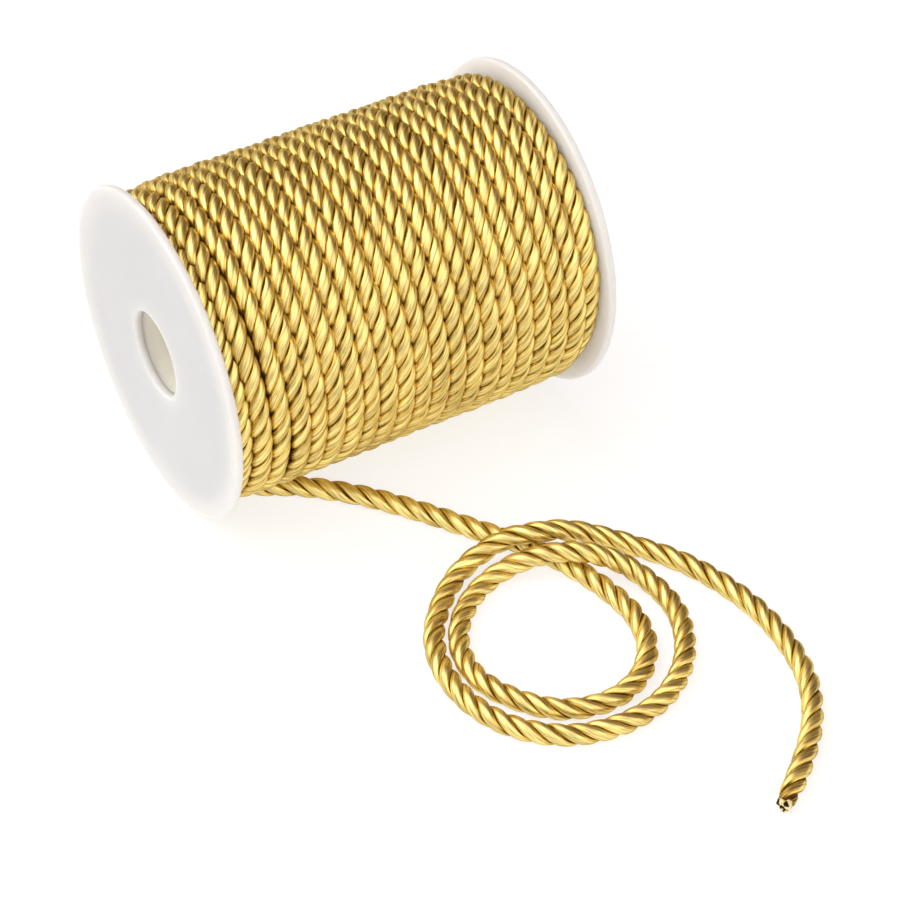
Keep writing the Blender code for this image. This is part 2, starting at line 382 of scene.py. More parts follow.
class SpoolSettings(PropertyGroup):
    """Sizes and colours of the plastic spool."""

    hole_radius: FloatProperty(
        name="Hole Radius",
        description="Radius of the hole through the spool",
        default=10.3 * MM,
        subtype="DISTANCE",
    )
    lip_rounding: FloatProperty(
        name="Lip Rounding",
        description="Rounding of the hole's edge",
        default=0.6 * MM,
        subtype="DISTANCE",
    )
    rim_rounding: FloatProperty(
        name="Rim Rounding",
        description="Rounding of the flange's outer edge",
        default=0.7 * MM,
        subtype="DISTANCE",
    )
    sides: IntProperty(
        name="Sides",
        description="Steps round each turned piece",
        default=160,
    )
    plastic_colour: FloatVectorProperty(
        name="Plastic Colour",
        description="Colour of the moulded plastic",
        default=(0.632, 0.616, 0.606),
        subtype="COLOR",
    )
    # Painted light: the core's colour, also used for its painted glow, stands in for the cord's gold
    # light coming through the thin wall
    core_painted_light_colour: FloatVectorProperty(
        name="Core Colour",
        description="Colour of the thin core tube, tinted by the cord round it",
        default=(0.90, 0.83, 0.70),
        subtype="COLOR",
    )


class StageSettings(PropertyGroup):
    """The surface and the studio light."""

    floor_colour: FloatVectorProperty(
        name="Floor Colour",
        description="Colour of the pale surface",
        default=(0.36, 0.356, 0.352),
        subtype="COLOR",
    )
    sky_strength: FloatProperty(
        name="Surround",
        description="Strength of the even light from all round",
        default=1.32,
    )
    lobe_strength: FloatProperty(
        name="Bright Side",
        description="Strength of the surround's bright side, up and to the left",
        default=0.52,
    )
    front_strength: FloatProperty(
        name="Front Fill",
        description="Strength of the weaker light low in front",
        default=0.6,
    )
    side_shade: FloatProperty(
        name="Dark Side",
        description="Share of the light that the right side of the room lacks",
        default=0.92,
        subtype="FACTOR",
    )
    floor_glow: FloatProperty(
        name="Floor Glow",
        description="Light that the backlit surface gives off itself",
        default=0.71,
    )
    key_power: FloatProperty(
        name="Key Light",
        description="Power of the soft light at the upper left",
        default=2.5,
        unit="POWER",
    )


def add_object(name, mesh):
    """Link a finished mesh as an object at the origin."""
    item = bpy.data.objects.new(name, mesh)
    bpy.context.scene.collection.objects.link(item)
    return item


def finish_piece(item, material, slot, *replaced):
    """Give a piece its material and its body, and hide the imported solids that it stands for."""
    item.data.materials.clear()
    item.data.materials.append(material)
    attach(item, BODY)
    if replaced:
        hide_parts(*replaced)
    return item


def unit(vectors):
    """Vectors of length one, row by row."""
    return vectors / np.linalg.norm(vectors, axis=1, keepdims=True)


def tangents_of(points):
    """Directions along a line of points."""
    return unit(np.gradient(points, axis=0))


def smooth_route():
    """Closely spaced points of the smooth curve through the route's points."""
    knots = np.array(ROUTE)
    knots = np.vstack([2 * knots[0] - knots[1], knots, 2 * knots[-1] - knots[-2]])
    t = (np.arange(ROUTE_SAMPLES) / ROUTE_SAMPLES)[:, None]
    runs = []
    for a, b, c, d in zip(knots, knots[1:], knots[2:], knots[3:]):
        runs.append((2 * b + (c - a) * t + (2 * a - 5 * b + 4 * c - d) * t ** 2
                     + (3 * b - a - 3 * c + d) * t ** 3) / 2)
    points = np.vstack(runs + [knots[-2]])
    points[:, 2] = np.maximum(points[:, 2], LIES)
    return points


def evenly_spaced(points, step):
    """Points at an even step along a line, both ends included, and the line's length."""
    lengths = np.concatenate([[0.0], np.cumsum(np.linalg.norm(np.diff(points, axis=0), axis=1))])
    places = np.linspace(0.0, lengths[-1], round(lengths[-1] / step) + 1)
    return np.column_stack([np.interp(places, lengths, points[:, k]) for k in range(3)]), lengths[-1]


def strand_lines(points, outward, phase, reach_out, reach_side):
    """Centrelines of the strands that turn about a cord's own centreline."""
    along = tangents_of(points)
    outward = unit(outward - along * np.sum(outward * along, axis=1, keepdims=True))
    side = np.cross(along, outward)
    lines = []
    for strand in range(STRANDS):
        angle = phase + 2 * math.pi * strand / STRANDS
        lines.append(points + outward * (reach_out * np.cos(angle))[:, None]
                     + side * (reach_side * np.sin(angle))[:, None])
    return lines


def tube(name, line, radius, scales, ring):
    """A mesh of one round tube along a line, and the number of corners in a ring."""
    curve = bpy.data.curves.new(name, "CURVE")
    curve.dimensions = "3D"
    curve.twist_mode = "MINIMUM"
    curve.bevel_depth = radius
    curve.bevel_resolution = ring
    curve.use_fill_caps = True
    spline = curve.splines.new("POLY")
    spline.points.add(len(line) - 1)
    spline.points.foreach_set("co", np.column_stack([line, np.ones(len(line))]).ravel())
    spline.points.foreach_set("radius", scales)
    item = bpy.data.objects.new(name, curve)
    mesh = bpy.data.meshes.new_from_object(item)
    bpy.data.objects.remove(item)
    bpy.data.curves.remove(curve)
    mesh.name = name
    mesh.shade_smooth()
    return mesh, 4 + 2 * ring


def places_of(mesh):
    """Places of a mesh's vertices, row by row."""
    places = np.zeros(len(mesh.vertices) * 3, np.float32)
    mesh.vertices.foreach_get("co", places)
    return places.reshape(-1, 3).astype(float)


def rings_of(mesh, corners, rings):
    """The ring that each vertex of a tube belongs to. Its two end caps come first."""
    ring = np.arange(len(mesh.vertices)) // corners - 2
    ring[:corners] = rings - 1
    ring[corners:2 * corners] = 0
    return ring


def press_strand(mesh, corners, line, centreline, radii, power, widening):
    """Press a round strand against the others: flatter outside, and wider round the cord."""
    places = places_of(mesh)
    ring = rings_of(mesh, corners, len(line))
    along = tangents_of(line)
    away = line - centreline
    away = unit(away - along * np.sum(away * along, axis=1, keepdims=True))
    round_cord = np.cross(along, away)
    off = places - line[ring]
    size = radii[ring]
    outer = np.sum(off * away[ring], axis=1) / size
    beside = np.sum(off * round_cord[ring], axis=1) / size
    outer = np.sign(outer) * np.abs(outer) ** power * size
    beside = np.sign(beside) * np.abs(beside) ** power * size * widening
    places = line[ring] + away[ring] * outer[:, None] + round_cord[ring] * beside[:, None]
    mesh.vertices.foreach_set("co", places.astype(np.float32).ravel())
    mesh.update()


def lay_out_fibres(mesh, corners, centreline, reach, outward=None):
    """Write the strand's own coordinates: turns round it and metres along it, and how far out
    from the cord's centreline each point lies, measured outward only where that is given."""
    places = places_of(mesh)
    ring = rings_of(mesh, corners, len(centreline))
    along = np.concatenate([[0.0], np.cumsum(np.linalg.norm(np.diff(centreline, axis=0), axis=1))])
    axis = tangents_of(centreline)[ring]
    off = places - centreline[ring]
    off -= axis * np.sum(off * axis, axis=1, keepdims=True)
    outness = np.linalg.norm(off, axis=1) / reach
    if outward is not None:
        height = np.sum(off * outward[ring], axis=1) / reach
        outness = np.minimum(outness, MIDDLE_OUTNESS + OUTNESS_PER_HEIGHT * height)
    attribute = mesh.attributes.new("outness", "FLOAT", "POINT")
    attribute.data.foreach_set("value", outness.astype(np.float32))

    loop_vertex = np.zeros(len(mesh.loops), np.int32)
    mesh.loops.foreach_get("vertex_index", loop_vertex)
    round_place = (loop_vertex % corners).astype(float)
    starts = np.zeros(len(mesh.polygons), np.int32)
    totals = np.zeros(len(mesh.polygons), np.int32)
    mesh.polygons.foreach_get("loop_start", starts)
    mesh.polygons.foreach_get("loop_total", totals)
    face_of_loop = np.repeat(np.arange(len(starts)), totals)
    highest = np.maximum.reduceat(round_place, starts)
    lowest = np.minimum.reduceat(round_place, starts)
    crosses_seam = (highest - lowest > corners / 2) & (totals == 4)
    at_start = crosses_seam[face_of_loop] & (round_place < corners / 2)
    round_place[at_start] += corners
    flat = np.column_stack([round_place / corners, along[ring[loop_vertex]]])
    layer = mesh.uv_layers[0]
    layer.name = "fibres"
    layer.uv.foreach_set("vector", flat.astype(np.float32).ravel())


def mark_melted_end(mesh, corners, along):
    """Write how far each point lies within the melted tip, whose last ring is fully melted."""
    ring = rings_of(mesh, corners, len(along))
    melted = np.clip(1.0 - (along[-1] - along[ring]) / MELTED_LENGTH, 0.0, 1.0)
    attribute = mesh.attributes.new("melted", "FLOAT", "POINT")
    attribute.data.foreach_set("value", melted.astype(np.float32))


def joined(name, meshes):
    """One mesh of several, which it takes the place of."""
    bm = bmesh.new()
    for mesh in meshes:
        bm.from_mesh(mesh)
        bpy.data.meshes.remove(mesh)
    whole = bpy.data.meshes.new(name)
    bm.to_mesh(whole)
    bm.free()
    return whole


def new_group(name, inputs, outputs):
    """A shader node group with named sockets, and its input and output nodes."""
    group = bpy.data.node_groups.new(name, "ShaderNodeTree")
    for socket_name, kind, default in inputs:
        socket = group.interface.new_socket(socket_name, in_out="INPUT", socket_type=kind)
        if default is not None:
            socket.default_value = default
    for socket_name, kind in outputs:
        group.interface.new_socket(socket_name, in_out="OUTPUT", socket_type=kind)
    return group, group.nodes.new("NodeGroupInput"), group.nodes.new("NodeGroupOutput")


def set_inputs(tree, node, inputs):
    """Link or set a node's inputs, each given by name or number and what goes into it."""
    for socket, source in inputs:
        if isinstance(source, bpy.types.NodeSocket):
            tree.links.new(source, node.inputs[socket])
        else:
            node.inputs[socket].default_value = source


def add_node(tree, kind, inputs=(), **values):
    """Add a shader node with its own values and its inputs."""
    node = tree.nodes.new(kind)
    for key, value in values.items():
        setattr(node, key, value)
    set_inputs(tree, node, inputs)
    return node


def math_node(tree, operation, first, second=0.0):
    """One arithmetic step, as its result socket."""
    node = add_node(tree, "ShaderNodeMath", ((0, first), (1, second)), operation=operation)
    return node.outputs[0]


def blend_node(tree, factor, first, second, how="MIX"):
    """A mix of two colours, as its result socket."""
    node = add_node(tree, "ShaderNodeMix", data_type="RGBA", blend_type=how)
    set_inputs(tree, node, ((0, factor), (6, first), (7, second)))
    return node.outputs[2]


def ramp_node(tree, source, stops):
    """A smooth ramp, whose stops are the two places that it lies between and its values there."""
    inputs = enumerate((source, *stops))
    return add_node(tree, "ShaderNodeMapRange", inputs, interpolation_type="SMOOTHSTEP").outputs[0]


def noise_node(tree, place, scale, detail=2.0, roughness=0.5):
    """Noise at a place, as its result socket."""
    return add_node(tree, "ShaderNodeTexNoise", (
        ("Vector", place), ("Scale", scale), ("Detail", detail), ("Roughness", roughness))).outputs[0]


def shaded(tree, colour, light):
    """A colour times a grey value, as its result socket."""
    grey = add_node(tree, "ShaderNodeCombineXYZ", ((0, light), (1, light), (2, light)))
    return blend_node(tree, 1.0, colour, grey.outputs[0], "MULTIPLY")


def weighted_sum(tree, first, second, weights):
    """Two values, each times its weight, added up."""
    return math_node(tree, "ADD", math_node(tree, "MULTIPLY", first, weights[0]),
                     math_node(tree, "MULTIPLY", second, weights[1]))


def build_filament_group():
    """Fine satin filaments along a strand: their colour, roughness and height, with painted shade in
    the grooves, on the strands' sides and in the creases between bundles.
    """
    group, given, result = new_group(
        "satin_filaments",
        (
            ("Fibre UV", "NodeSocketVector", None),
            ("Outness", "NodeSocketFloat", 1.0),
            ("Yarn", "NodeSocketColor", (0.8, 0.56, 0.18, 1.0)),
            ("Painted Flank Shade", "NodeSocketColor", (0.8, 0.45, 0.08, 1.0)),
            ("Painted Groove Shade", "NodeSocketColor", (0.3, 0.15, 0.02, 1.0)),
            ("Roughness", "NodeSocketFloat", 0.4),
        ),
        (
            ("Color", "NodeSocketColor"),
            ("Roughness", "NodeSocketFloat"),
            ("Height", "NodeSocketFloat"),
            ("Metallic", "NodeSocketFloat"),
            ("Coat", "NodeSocketFloat"),
        ),
    )
    fibre = add_node(group, "ShaderNodeSeparateXYZ", ((0, given.outputs["Fibre UV"]),))
    round_turns, metres = fibre.outputs[0], fibre.outputs[1]
    millimetres = math_node(group, "MULTIPLY", metres, 1 / MM)
    twist = math_node(group, "MULTIPLY", millimetres, FILAMENT_TWIST)
    twisted = math_node(group, "ADD", round_turns, twist)
    angle = math_node(group, "MULTIPLY", twisted, 2 * math.pi)
    across_x = math_node(group, "COSINE", angle)
    across_y = math_node(group, "SINE", angle)

    def streaks(across_scale, along_scale, detail):
        place = add_node(group, "ShaderNodeCombineXYZ", (
            (0, math_node(group, "MULTIPLY", across_x, across_scale)),
            (1, math_node(group, "MULTIPLY", across_y, across_scale)),
            (2, math_node(group, "MULTIPLY", millimetres, along_scale)),
        ))
        return noise_node(group, place.outputs[0], 1.0, detail, STREAK_ROUGHNESS)

    fine = streaks(*FINE_STREAKS)
    coarse = streaks(*COARSE_STREAKS)
    patches = streaks(*PATCH_STREAKS)
    tone = weighted_sum(group, fine, coarse, STREAK_TONES)
    lightness = math_node(group, "MULTIPLY", ramp_node(group, tone, TONE_RAMP),
                          ramp_node(group, patches, PATCH_RAMP))
    # Thin lines of painted shade, also sunk as a bump, in the creases between the bundles of filaments
    # that make up a strand
    wander = math_node(group, "MULTIPLY", streaks(*WANDER_STREAKS), BUNDLE_WANDER)
    bundle = math_node(group, "ADD", math_node(group, "MULTIPLY", twisted, BUNDLES), wander)
    across = math_node(group, "PINGPONG", bundle, 0.5)
    line = ramp_node(group, across, (0.0, LINE_WIDTH, 1.0, 0.0))
    change = math_node(group, "SUBTRACT", coarse, 0.5)
    uneven = math_node(group, "MULTIPLY", change, REACH_UNEVENNESS)
    outness = math_node(group, "ADD", given.outputs["Outness"], uneven)
    # Painted shade: richer colour on the strands' sides, dark colour deep in the grooves and in the
    # creases
    side = ramp_node(group, outness, (*FLANK_PAINTED_SHADE_REACH, 1.0, 0.0))
    painted_groove_shade = ramp_node(group, outness, (*GROOVE_PAINTED_SHADE_REACH, 1.0, 0.0))
    line_shade = math_node(group, "MULTIPLY", line, LINE_PAINTED_SHADE)
    dark = math_node(group, "MAXIMUM", painted_groove_shade, line_shade)
    colour = blend_node(group, side, given.outputs["Yarn"], given.outputs["Painted Flank Shade"])
    colour = blend_node(group, dark, colour, given.outputs["Painted Groove Shade"])
    colour = shaded(group, colour, lightness)
    rough = math_node(group, "ADD", given.outputs["Roughness"],
                      math_node(group, "MULTIPLY", change, ROUGHNESS_CHANGE))
    rough = math_node(group, "ADD", rough, math_node(group, "MULTIPLY", painted_groove_shade, GROOVE_ROUGHNESS))
    # In the painted groove shade the yarn is also less metallic and less coated, so it reflects less
    open_share = math_node(group, "SUBTRACT", 1.0, painted_groove_shade)
    metal = math_node(group, "MULTIPLY", open_share, METAL_SHARE)
    coat = math_node(group, "MULTIPLY", open_share, COAT_SHARE)
    height = weighted_sum(group, fine, coarse, STREAK_HEIGHTS)
    height = math_node(group, "SUBTRACT", height, math_node(group, "MULTIPLY", line, LINE_DEPTH))
    set_inputs(group, result, (("Color", colour), ("Roughness", rough), ("Height", height),
                               ("Metallic", metal), ("Coat", coat)))
    return group


def shader_of(name):
    """A new material with its node tree and Principled shader."""
    material = bpy.data.materials.new(name)
    material.use_nodes = True
    return material, material.node_tree, material.node_tree.nodes["Principled BSDF"]


def satin_yarn(name, group, cord):
    """Gold satin yarn, glossier across its filaments than along them."""
    material, tree, shader = shader_of(name)
    uv = add_node(tree, "ShaderNodeUVMap", uv_map="fibres")
    outness = add_node(tree, "ShaderNodeAttribute", attribute_name="outness")
    yarn = add_node(tree, "ShaderNodeGroup", node_tree=group)
    set_inputs(tree, yarn, (
        ("Fibre UV", uv.outputs[0]),
        ("Outness", outness.outputs["Fac"]),
        ("Yarn", (*cord.yarn_colour, 1.0)),
        ("Painted Flank Shade", (*cord.flank_painted_shade_colour, 1.0)),
        ("Painted Groove Shade", (*cord.groove_painted_shade_colour, 1.0)),
        ("Roughness", cord.roughness),
    ))
    bump = add_node(tree, "ShaderNodeBump", (
        ("Strength", YARN_BUMP_STRENGTH), ("Distance", YARN_BUMP_DEPTH),
        ("Height", yarn.outputs["Height"])))
    # The tip is melted: pale and fused, with scorched spots
    place = add_node(tree, "ShaderNodeTexCoord")
    spots = noise_node(tree, place.outputs["Object"], SPOT_SCALE, 1.0)
    scorched = ramp_node(tree, spots, SPOT_RAMP)
    fused = blend_node(tree, scorched, FUSED_COLOUR, SCORCHED_COLOUR)
    melted = add_node(tree, "ShaderNodeAttribute", attribute_name="melted").outputs["Fac"]
    is_melted = ramp_node(tree, melted, MELTED_RAMP)
    colour = blend_node(tree, is_melted, yarn.outputs["Color"], fused)
    metal = math_node(tree, "MULTIPLY", yarn.outputs["Metallic"],
                      math_node(tree, "SUBTRACT", 1.0, is_melted))
    tangent = add_node(tree, "ShaderNodeTangent", direction_type="UV_MAP", uv_map="fibres")
    set_inputs(tree, shader, (
        ("Base Color", colour),
        ("Roughness", yarn.outputs["Roughness"]),
        ("Normal", bump.outputs[0]),
        ("Tangent", tangent.outputs[0]),
        ("Metallic", metal),
        ("Coat Weight", yarn.outputs["Coat"]),
        ("Anisotropic", ANISOTROPY),
        ("Specular Tint", EDGE_TINT),
        ("Coat Roughness", COAT_ROUGHNESS),
        ("Coat IOR", COAT_IOR),
    ))
    return material


def build_plastic_group():
    """Moulded plastic: faint clouding, fine grain and scuffs."""
    group, given, result = new_group(
        "moulded_plastic",
        (
            ("Place", "NodeSocketVector", None),
            ("Plastic", "NodeSocketColor", (0.8, 0.8, 0.8, 1.0)),
            ("Roughness", "NodeSocketFloat", 0.45),
        ),
        (("Color", "NodeSocketColor"), ("Roughness", "NodeSocketFloat"), ("Height", "NodeSocketFloat")),
    )
    place = given.outputs["Place"]
    clouds = noise_node(group, place, CLOUD_SCALE, 3.0)
    grain = noise_node(group, place, GRAIN_SCALE)
    scuffs = noise_node(group, place, SCUFF_SCALE, 4.0, 0.7)
    colour = shaded(group, given.outputs["Plastic"], ramp_node(group, clouds, CLOUD_RAMP))
    scuffing = math_node(group, "SUBTRACT", scuffs, 0.5)
    rough = math_node(group, "ADD", given.outputs["Roughness"],
                      math_node(group, "MULTIPLY", scuffing, SCUFF_ROUGHNESS))
    height = weighted_sum(group, grain, scuffs, PLASTIC_HEIGHTS)
    set_inputs(group, result, (("Color", colour), ("Roughness", rough), ("Height", height)))
    return group


def white_plastic(name, group, colour):
    """Matt white moulded plastic."""
    material, tree, shader = shader_of(name)
    place = add_node(tree, "ShaderNodeTexCoord")
    plastic = add_node(tree, "ShaderNodeGroup", node_tree=group)
    set_inputs(tree, plastic, (("Place", place.outputs["Object"]), ("Plastic", (*colour, 1.0)),
                               ("Roughness", PLASTIC_ROUGHNESS)))
    bump = add_node(tree, "ShaderNodeBump", (
        ("Strength", PLASTIC_BUMP_STRENGTH), ("Distance", PLASTIC_BUMP_DEPTH),
        ("Height", plastic.outputs["Height"])))
    set_inputs(tree, shader, (
        ("Base Color", plastic.outputs["Color"]),
        ("Roughness", plastic.outputs["Roughness"]),
        ("Normal", bump.outputs[0]),
        ("Specular IOR Level", PLASTIC_SPECULAR),
        ("Subsurface Weight", 1.0),
        ("Subsurface Scale", LIGHT_SPREAD),
        ("Subsurface Radius", LIGHT_SPREAD_BY_COLOUR),
    ))
    return material


def material_named(name, build, *values):
    """The material of that name, made on first use."""
    return bpy.data.materials.get(name) or build(name, *values)


def group_named(name, build):
    """The node group of that name, made on first use."""
    return bpy.data.node_groups.get(name) or build()


def yarn_material(context):
    """The gold yarn that every cord piece shares."""
    return material_named("gold_satin_yarn", satin_yarn,
                          group_named("satin_filaments", build_filament_group), context.scene.trim_cord)


def plastic_material(context):
    """The white plastic that both flanges share."""
    return material_named("white_moulded_plastic", white_plastic,
                          group_named("moulded_plastic", build_plastic_group),
                          context.scene.trim_spool.plastic_colour)


def core_material(context):
    """The thin plastic of the core tube, painted with the gold light of the cord round it and given a
    painted glow.
    """
    spool = context.scene.trim_spool
    material = material_named("core_plastic_painted_light", white_plastic,
                              group_named("moulded_plastic", build_plastic_group),
                              spool.core_painted_light_colour)
    tree = material.node_tree
    # Painted glow: the core gives off light though it is no lamp
    set_inputs(tree, tree.nodes["Principled BSDF"], (
        ("Emission Color", (*spool.core_painted_light_colour, 1.0)), ("Emission Strength", CORE_PAINTED_GLOW)))
    return material


def waves(turns, parts):
    """A sum of sine waves, each with its share, its rate for each turn and its start."""
    return sum(share * np.sin(rate * turns + start) for share, rate, start in parts)


def groove_place(turns):
    """Place along the axis of the groove before each turn, in turns from the groove angle."""
    settled = SETTLED_SHIFT * (1 - np.exp(-SETTLE_RATE * np.maximum(turns, 0.0)))
    wobble = WOBBLE * waves(turns, WOBBLE_WAVES)
    inside = np.clip(turns, 0.0, 1.0) * np.clip(TURN_COUNT - 1 - turns, 0.0, 1.0)
    spread = SPREAD * np.maximum(turns - SPREAD_FROM, 0.0)
    return FIRST_GROOVE + TURN_PITCH * turns + settled + wobble * inside + spread


def groove_gap(turns):
    """Width of the open gap at a groove, where two turns stand apart."""
    gap = np.zeros_like(turns)
    for groove, angle, spread, width in PARTINGS:
        centre = groove + (math.radians(angle) - GROOVE_ANGLE) / (2 * math.pi)
        away = (turns - centre) / (spread / 360)
        gap += width * np.exp(-away ** 2)
    return gap


def end_drop(distance, drop, length):
    """How far the crests sink near a flange, at a distance from the winding's end."""
    return drop * np.clip(1.0 - distance / length, 0.0, 1.0) ** 2


def far_lean(height):
    """How far the far flange stands out along the axis at a height above the axis."""
    return FAR_LEAN * height / FLANGE_RADIUS


def axis_sink(x):
    """How far the axis lies lower at a place along it, as the far flange is a little smaller."""
    return FAR_SINK * (x + HALF_LENGTH) / (2 * HALF_LENGTH)


def as_it_stands(x, y):
    """Where a place on the straight spool lies on the turned one, seen from above."""
    reach = (x + HALF_LENGTH) * SPOOL_STRETCH
    return (reach * math.cos(SPOOL_TURN) - HALF_LENGTH - y * math.sin(SPOOL_TURN),
            reach * math.sin(SPOOL_TURN) + y * math.cos(SPOOL_TURN))


def wound_centreline(turns):
    """The wound cord's place along the axis, radius, outward direction and half width, by turns."""
    cord = bpy.context.scene.trim_cord
    left = groove_place(turns) + groove_gap(turns) / 2
    right = groove_place(turns + 1) - groove_gap(turns + 1) / 2
    half_width = np.clip((right - left) / 2, LEAST_HALF_WIDTH * cord.diameter,
                         GREATEST_HALF_WIDTH * cord.diameter)
    middle = (left + right) / 2
    angle = GROOVE_ANGLE + 2 * math.pi * turns
    near_stop = -INNER_HALF_LENGTH + half_width
    far_stop = INNER_HALF_LENGTH - half_width + far_lean(WOUND_RADIUS * np.sin(angle))
    middle = np.clip(middle, near_stop, far_stop)
    next_middle = (groove_place(turns + 1) + groove_place(turns + 2)) / 2
    last_middle = (groove_place(turns - 1) + groove_place(turns)) / 2
    near_side = np.where(turns < 0.5, next_middle - middle, NESTING_PITCH)
    far_side = np.where(turns > TURN_COUNT - 3, middle - last_middle, NESTING_PITCH)
    beside = np.clip(np.minimum(near_side, far_side), 0.0, NESTING_PITCH)
    nested = np.sqrt(NESTING_PITCH ** 2 - beside ** 2)
    radius = (WOUND_RADIUS - cord.diameter / 2 - NESTING_SHARE * nested
              - end_drop(INNER_HALF_LENGTH + middle, NEAR_END_DROP, NEAR_DROP_LENGTH)
              - end_drop(INNER_HALF_LENGTH - middle, FAR_END_DROP, FAR_DROP_LENGTH)
              + RISE * waves(turns, RISE_WAVES[:1]) * waves(turns, RISE_WAVES[1:]))
    outward = np.column_stack([np.zeros_like(angle), np.cos(angle), np.sin(angle)])
    return middle, radius, outward, half_width


def lift_over_loose_end(middle, radius, outward, clearance):
    """Sink the wound cord towards the axis where the loose end runs under it."""
    under = smooth_route()[UNDER_RUN]
    for _ in range(SINK_ROUNDS):
        places = axis_points(middle, radius, outward)
        low = np.where(places[:, 2] < SINK_BELOW)[0]
        gaps = np.linalg.norm(places[low, None, :] - under[None, :, :], axis=2).min(axis=1)
        radius[low] -= SINK_SHARE * np.clip(clearance - gaps, 0.0, None)
    return radius


def axis_points(middle, radius, outward):
    """Points at a distance along the spool's axis and a radius from it."""
    places = outward * radius[:, None]
    places[:, 2] += AXIS_HEIGHT - axis_sink(middle)
    places[:, 0], places[:, 1] = as_it_stands(middle, places[:, 1])
    return places


class TRIM_OT_place_camera(Operator):
    """Place the camera at the photograph's viewing angle"""

    bl_idname = "cord_trim.place_camera"
    bl_label = "Place Camera"

    def execute(self, context):
        camera = bpy.data.cameras.new("photo_view")
        camera.sensor_width = SENSOR_WIDTH
        camera.lens = FOCAL_PIXELS / FRAME_PIXELS * SENSOR_WIDTH
        camera.clip_start = CLIP_START
        item = bpy.data.objects.new("photo_view", camera)
        item.location = CAMERA_PLACE
        item.rotation_euler = (CAMERA_TILT, 0.0, CAMERA_TURN)
        context.scene.collection.objects.link(item)
        context.scene.camera = item
        return {"FINISHED"}


class TRIM_OT_make_loose_end(Operator):
    """Lay the loose end of the cord, strand by strand, along its route"""

    bl_idname = "cord_trim.make_loose_end"
    bl_label = "Make Loose End"

    def execute(self, context):
        cord = context.scene.trim_cord
        points, length = evenly_spaced(smooth_route(), cord.loose_lay / LOOSE_STEPS_PER_LAY)
        along = np.linspace(0.0, length, len(points))
        upward = np.tile((0.0, 0.0, 1.0), (len(points), 1))
        near_tip = np.clip(1.0 - (length - along) / TIP_TAPER_LENGTH, 0.0, 1.0)
        taper = 1.0 - (1.0 - TIP_SCALE) * near_tip
        reach = (cord.diameter / 2 - cord.strand_radius) * taper
        change = np.cos(2 * math.pi * (along - LONGEST_LAY) / LAY_CHANGE_PERIOD)
        lay = cord.loose_lay + LAY_CHANGE * change
        phase = 2 * math.pi * np.cumsum(np.gradient(along) / lay)
        lines = strand_lines(points, upward, phase, reach, reach)
        strands = []
        for line in lines:
            mesh, corners = tube("loose_strand", line, cord.strand_radius, taper, LOOSE_RING)
            press_strand(mesh, corners, line, points, cord.strand_radius * taper, *LOOSE_PRESSING)
            lay_out_fibres(mesh, corners, points, cord.diameter / 2)
            mark_melted_end(mesh, corners, along)
            strands.append(mesh)
        item = add_object("loose_cord", joined("loose_cord", strands))
        finish_piece(item, yarn_material(context), "gold_yarn", "cord_loose")
        return {"FINISHED"}


class TRIM_OT_make_winding(Operator):
    """Wind the cord on the spool, strand by strand, in one layer of turns"""

    bl_idname = "cord_trim.make_winding"
    bl_label = "Make Winding"

    def execute(self, context):
        cord = context.scene.trim_cord
        step = STRANDS / (WOUND_STRANDS_PER_TURN * WOUND_STEPS_PER_LAY)
        turns = np.arange(FIRST_TURN, LAST_TURN, step)
        middle, radius, outward, half_width = wound_centreline(turns)
        radius = lift_over_loose_end(middle, radius, outward, CLEAR_SHARE * cord.diameter)
        points = axis_points(middle, radius, outward)
        drift = PHASE_DRIFT * waves(turns, DRIFT_WAVES)
        phase = 2 * math.pi * (turns * WOUND_STRANDS_PER_TURN / STRANDS + drift)
        thick = cord.wound_strand_radius
        reach_out = np.full(len(turns), cord.diameter / 2 - thick)
        # A strand of one turn lies in the groove between two strands of the next
        nested = math.sqrt(4 * thick ** 2 - 0.75 * reach_out[0] ** 2)
        reach_side = (2 * half_width - nested) / 1.5 + STRAND_OVERLAP
        lines = strand_lines(points, outward, phase, reach_out, reach_side)
        for number, line in enumerate(lines, 1):
            name = f"wound_strand_{number}"
            mesh, corners = tube(name, line, thick, np.ones(len(line)), WOUND_RING)
            press_strand(mesh, corners, line, points, np.full(len(line), thick), *WOUND_PRESSING)
            lay_out_fibres(mesh, corners, points, cord.diameter / 2, outward)
            finish_piece(add_object(name, mesh), yarn_material(context), "gold_yarn", "cord_winding")
        return {"FINISHED"}


class TRIM_OT_make_under_layer(Operator):
    """Make the layer of turns that shows through the gaps of the outer one"""

    bl_idname = "cord_trim.make_under_layer"
    bl_label = "Make Under Layer"

    def execute(self, context):
        cord = context.scene.trim_cord
        turns = np.arange(UNDER_FIRST_TURN, UNDER_LAST_TURN, 1.0 / UNDER_STEPS_PER_TURN)
        middle, radius, outward, _ = wound_centreline(turns)
        middle += TURN_PITCH / 2
        radius = lift_over_loose_end(middle, radius - UNDER_LAYER_DEPTH, outward,
                                     CLEAR_SHARE * cord.diameter + UNDER_LAYER_DEPTH)
        points = axis_points(middle, radius, outward)
        name = "under_layer"
        mesh, corners = tube(name, points, cord.diameter * UNDER_RADIUS, np.ones(len(points)),
                             UNDER_RING)
        # Measured against the whole diameter, all of this tube lies deep enough to be painted all over
        # with the groove's painted shade
        lay_out_fibres(mesh, corners, points, cord.diameter)
        finish_piece(add_object(name, mesh), yarn_material(context), "gold_yarn", "cord_winding")
        return {"FINISHED"}


def corner_arc(x, radius, start_angle, rounding, steps=8):
    """Points of a quarter circle about (x, radius), turning left from its start angle."""
    angles = [start_angle + math.pi / 2 * step / steps for step in range(steps + 1)]
    return [(x + rounding * math.cos(a), radius + rounding * math.sin(a)) for a in angles]


